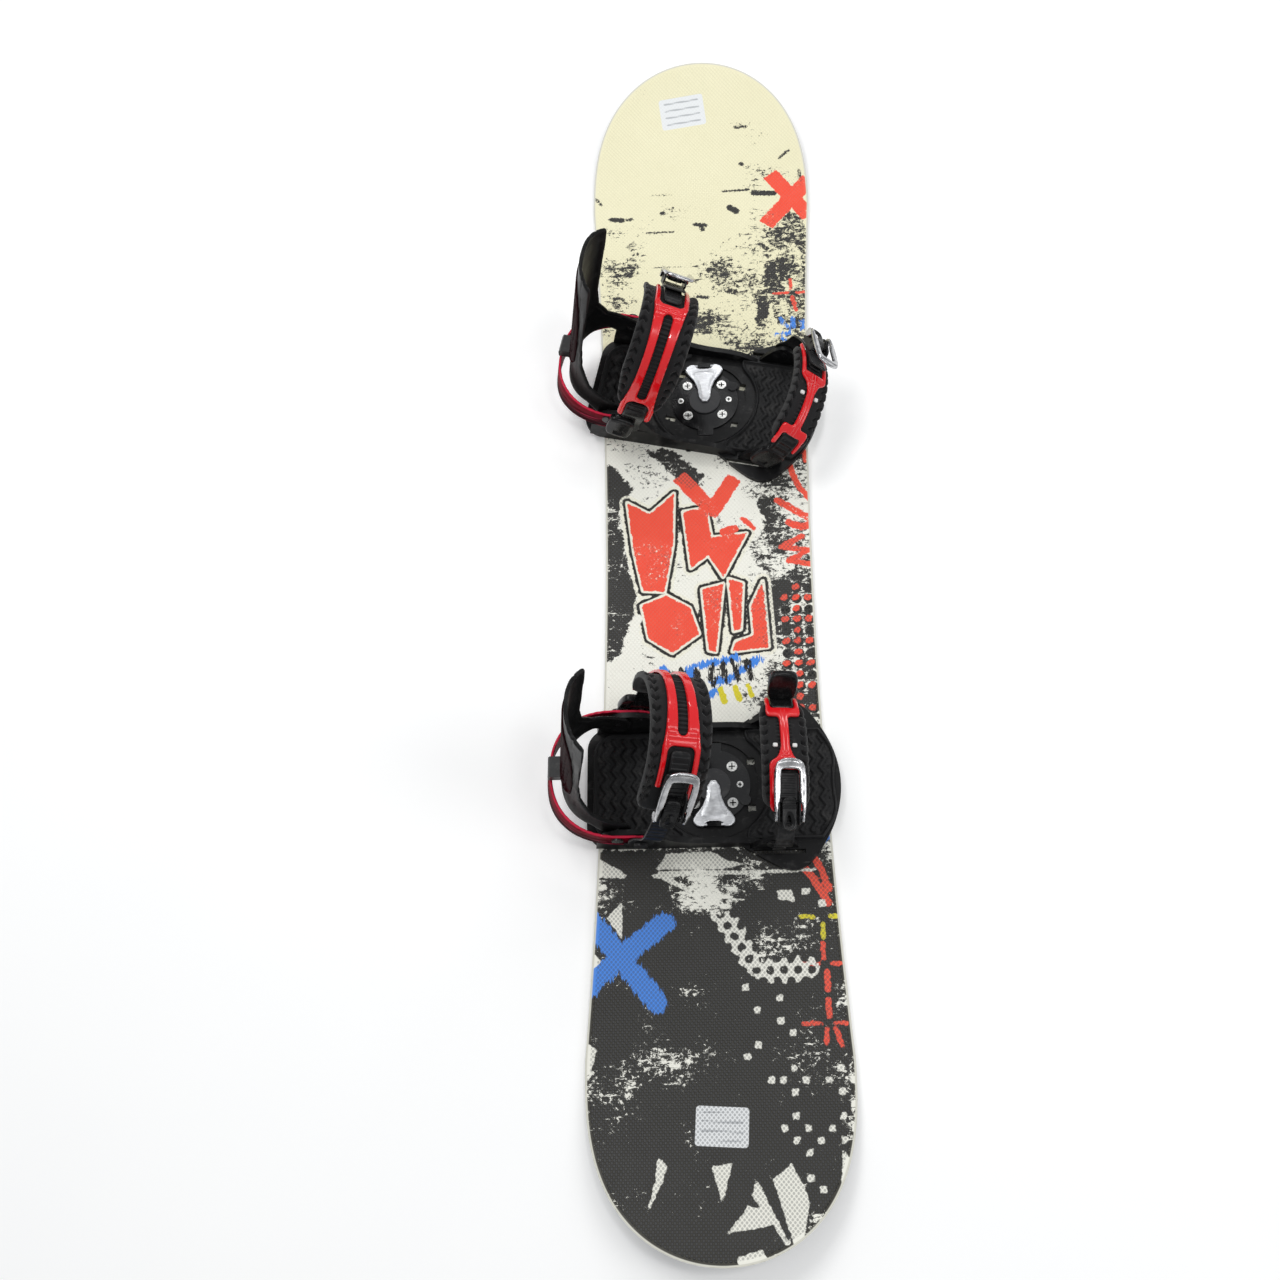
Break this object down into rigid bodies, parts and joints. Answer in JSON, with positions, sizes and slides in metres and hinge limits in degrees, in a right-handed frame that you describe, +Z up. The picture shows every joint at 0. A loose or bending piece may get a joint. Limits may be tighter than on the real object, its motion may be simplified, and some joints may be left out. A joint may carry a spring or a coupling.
{
  "type": "snowboard with bindings",
  "caption": "Twin-tip snowboard with two strap bindings: turning baseplates, folding highbacks, and ankle and toe straps closed by ratchet buckles.",
  "frame": {"origin": "centre of the flat running base, on the surface the board lies on", "axes": "+X across the board to the toe side, +Y along the board to the nose, +Z up"},
  "size_m": [0.3267, 1.42, 0.273],
  "materials": {
    "base_black": "sintered polyethylene base, satin",
    "edge_steel": "ground steel",
    "core_wood": "poplar, sealed inside",
    "sidewall_cream": "satin",
    "topsheet_graphic": "dimpled printed topsheet, semi-gloss",
    "insert_steel": "plain",
    "screw_zinc": "zinc plated",
    "disc_black": "glossy moulded",
    "cap_grey": "satin",
    "lever_silver": "silver satin",
    "plate_black": "fine grained moulded nylon",
    "footpad_rubber": "matte moulded tread",
    "loop_red": "deep red gloss",
    "highback_black": "satin",
    "panel_gloss": "glossy, grooved",
    "strap_black": "soft moulded strap pad",
    "frame_red": "bright red gloss",
    "link_black": "satin",
    "ladder_black": "semi-gloss toothed strip",
    "buckle_black": "semi-gloss",
    "buckle_silver": "cast, polished and worn",
    "bolt_black": "blackened steel"
  },
  "bodies": {
    "board": {"board_base_sheet": "base_black", "board_steel_edge": "edge_steel", "board_core": "core_wood", "board_sidewall": "sidewall_cream", "board_topsheet": "topsheet_graphic", "board_inserts": "insert_steel", "disc_mounting_screws": "screw_zinc", "disc_trim_screws": "screw_zinc", "disc_caps": "cap_grey", "front_disc": "disc_black", "rear_disc": "disc_black"},
    "front_disc_lever": {"front_disc_lever": "lever_silver"},
    "front_binding": {"front_baseplate": "plate_black", "front_heel_pad": "footpad_rubber", "front_toe_pad": "footpad_rubber", "front_heel_loop": "loop_red", "front_frame_screws": "bolt_black", "front_strap_bolts": "bolt_black"},
    "front_highback": {"front_highback_shell": "highback_black", "front_highback_panel": "panel_gloss", "front_lean_adjuster": "buckle_black"},
    "front_ankle_strap": {"front_ankle_strap_pad": "strap_black", "front_ankle_strap_frame": "frame_red", "front_ankle_strap_link": "link_black", "front_ankle_ladder": "ladder_black", "front_ankle_buckle_base": "buckle_black"},
    "front_ankle_lever": {"front_ankle_buckle_lever": "buckle_silver"},
    "front_ankle_release": {"front_ankle_buckle_release": "buckle_black"},
    "front_toe_strap": {"front_toe_strap_pad": "strap_black", "front_toe_strap_frame": "frame_red", "front_toe_strap_link": "link_black", "front_toe_ladder": "ladder_black", "front_toe_buckle_base": "buckle_black"},
    "front_toe_lever": {"front_toe_buckle_lever": "buckle_silver"},
    "front_toe_release": {"front_toe_buckle_release": "buckle_black"},
    "rear_disc_lever": {"rear_disc_lever": "lever_silver"},
    "rear_binding": {"rear_baseplate": "plate_black", "rear_heel_pad": "footpad_rubber", "rear_toe_pad": "footpad_rubber", "rear_heel_loop": "loop_red", "rear_frame_screws": "bolt_black", "rear_strap_bolts": "bolt_black"},
    "rear_highback": {"rear_highback_shell": "highback_black", "rear_highback_panel": "panel_gloss", "rear_lean_adjuster": "buckle_black"},
    "rear_ankle_strap": {"rear_ankle_strap_pad": "strap_black", "rear_ankle_strap_frame": "frame_red", "rear_ankle_strap_link": "link_black", "rear_ankle_ladder": "ladder_black", "rear_ankle_buckle_base": "buckle_black"},
    "rear_ankle_lever": {"rear_ankle_buckle_lever": "buckle_silver"},
    "rear_ankle_release": {"rear_ankle_buckle_release": "buckle_black"},
    "rear_toe_strap": {"rear_toe_strap_pad": "strap_black", "rear_toe_strap_frame": "frame_red", "rear_toe_strap_link": "link_black", "rear_toe_ladder": "ladder_black", "rear_toe_buckle_base": "buckle_black"},
    "rear_toe_lever": {"rear_toe_buckle_lever": "buckle_silver"},
    "rear_toe_release": {"rear_toe_buckle_release": "buckle_black"}
  },
  "joints": [
    {"name": "front_stance_turn", "type": "hinge", "parent": "board", "child": "front_binding", "pos_m": [0, 0.232, 0.008], "axis": [0, 0, 1], "range_deg": [-17.5, 42.5]},
    {"name": "front_disc_lever_flip", "type": "hinge", "parent": "board", "child": "front_disc_lever", "pos_m": [0, 0.2762, 0.0185], "axis": [-1, 0, 0], "range_deg": [0, 75]},
    {"name": "front_highback_fold", "type": "hinge", "parent": "front_binding", "child": "front_highback", "pos_m": [-0.09568, 0.25321, 0.058], "axis": [0.2164, 0.9763, 0], "range_deg": [0, 20]},
    {"name": "front_ankle_strap_swing", "type": "hinge", "parent": "front_binding", "child": "front_ankle_strap", "pos_m": [-0.07225, 0.24802, 0.058], "axis": [0.2164, 0.9763, 0], "range_deg": [-15, 30]},
    {"name": "front_ankle_buckle_lever", "type": "hinge", "parent": "front_ankle_strap", "child": "front_ankle_lever", "pos_m": [-0.02836, 0.31071, 0.14811], "axis": [-0.9285, 0.2058, 0.309], "range_deg": [0, 80], "stiffness_Nm_per_rad": 0.03, "springref_deg": -28.65},
    {"name": "front_ankle_buckle_release", "type": "hinge", "parent": "front_ankle_strap", "child": "front_ankle_release", "pos_m": [-0.02712, 0.30024, 0.15879], "axis": [0.9285, -0.2058, -0.309], "range_deg": [0, 20], "stiffness_Nm_per_rad": 0.03, "springref_deg": -28.65},
    {"name": "front_toe_strap_swing", "type": "hinge", "parent": "front_binding", "child": "front_toe_strap", "pos_m": [0.08006, 0.21425, 0.036], "axis": [0.2164, 0.9763, 0], "range_deg": [-40, 25]},
    {"name": "front_toe_buckle_lever", "type": "hinge", "parent": "front_toe_strap", "child": "front_toe_lever", "pos_m": [0.1303, 0.26673, 0.08092], "axis": [-0.7479, 0.1658, 0.6428], "range_deg": [0, 80], "stiffness_Nm_per_rad": 0.03, "springref_deg": -28.65},
    {"name": "front_toe_buckle_release", "type": "hinge", "parent": "front_toe_strap", "child": "front_toe_release", "pos_m": [0.13137, 0.25259, 0.08582], "axis": [0.7479, -0.1658, -0.6428], "range_deg": [0, 20], "stiffness_Nm_per_rad": 0.03, "springref_deg": -28.65},
    {"name": "rear_stance_turn", "type": "hinge", "parent": "board", "child": "rear_binding", "pos_m": [0, -0.238, 0.008], "axis": [0, 0, 1], "range_deg": [-30, 30]},
    {"name": "rear_disc_lever_flip", "type": "hinge", "parent": "board", "child": "rear_disc_lever", "pos_m": [0, -0.2822, 0.0185], "axis": [1, 0, 0], "range_deg": [0, 75]},
    {"name": "rear_highback_fold", "type": "hinge", "parent": "rear_binding", "child": "rear_highback", "pos_m": [-0.098, -0.238, 0.058], "axis": [0, 1, 0], "range_deg": [0, 20]},
    {"name": "rear_ankle_strap_swing", "type": "hinge", "parent": "rear_binding", "child": "rear_ankle_strap", "pos_m": [-0.074, -0.238, 0.058], "axis": [0, 1, 0], "range_deg": [-15, 30]},
    {"name": "rear_ankle_buckle_lever", "type": "hinge", "parent": "rear_ankle_strap", "child": "rear_ankle_lever", "pos_m": [-0.0409, -0.30778, 0.14423], "axis": [0.9336, 0, -0.3584], "range_deg": [0, 80], "stiffness_Nm_per_rad": 0.03, "springref_deg": -28.65},
    {"name": "rear_ankle_buckle_release", "type": "hinge", "parent": "rear_ankle_strap", "child": "rear_ankle_release", "pos_m": [-0.0366, -0.29877, 0.15544], "axis": [-0.9336, 0, 0.3584], "range_deg": [0, 20], "stiffness_Nm_per_rad": 0.03, "springref_deg": -28.65},
    {"name": "rear_toe_strap_swing", "type": "hinge", "parent": "rear_binding", "child": "rear_toe_strap", "pos_m": [0.066, -0.238, 0.038], "axis": [0, 1, 0], "range_deg": [-10, 50]},
    {"name": "rear_toe_buckle_lever", "type": "hinge", "parent": "rear_toe_strap", "child": "rear_toe_lever", "pos_m": [0.07544, -0.29763, 0.09758], "axis": [0.9877, 0, -0.1564], "range_deg": [0, 80], "stiffness_Nm_per_rad": 0.03, "springref_deg": -28.65},
    {"name": "rear_toe_buckle_release", "type": "hinge", "parent": "rear_toe_strap", "child": "rear_toe_release", "pos_m": [0.07584, -0.28286, 0.10016], "axis": [-0.9877, 0, 0.1564], "range_deg": [0, 20], "stiffness_Nm_per_rad": 0.03, "springref_deg": -28.65}
  ]
}
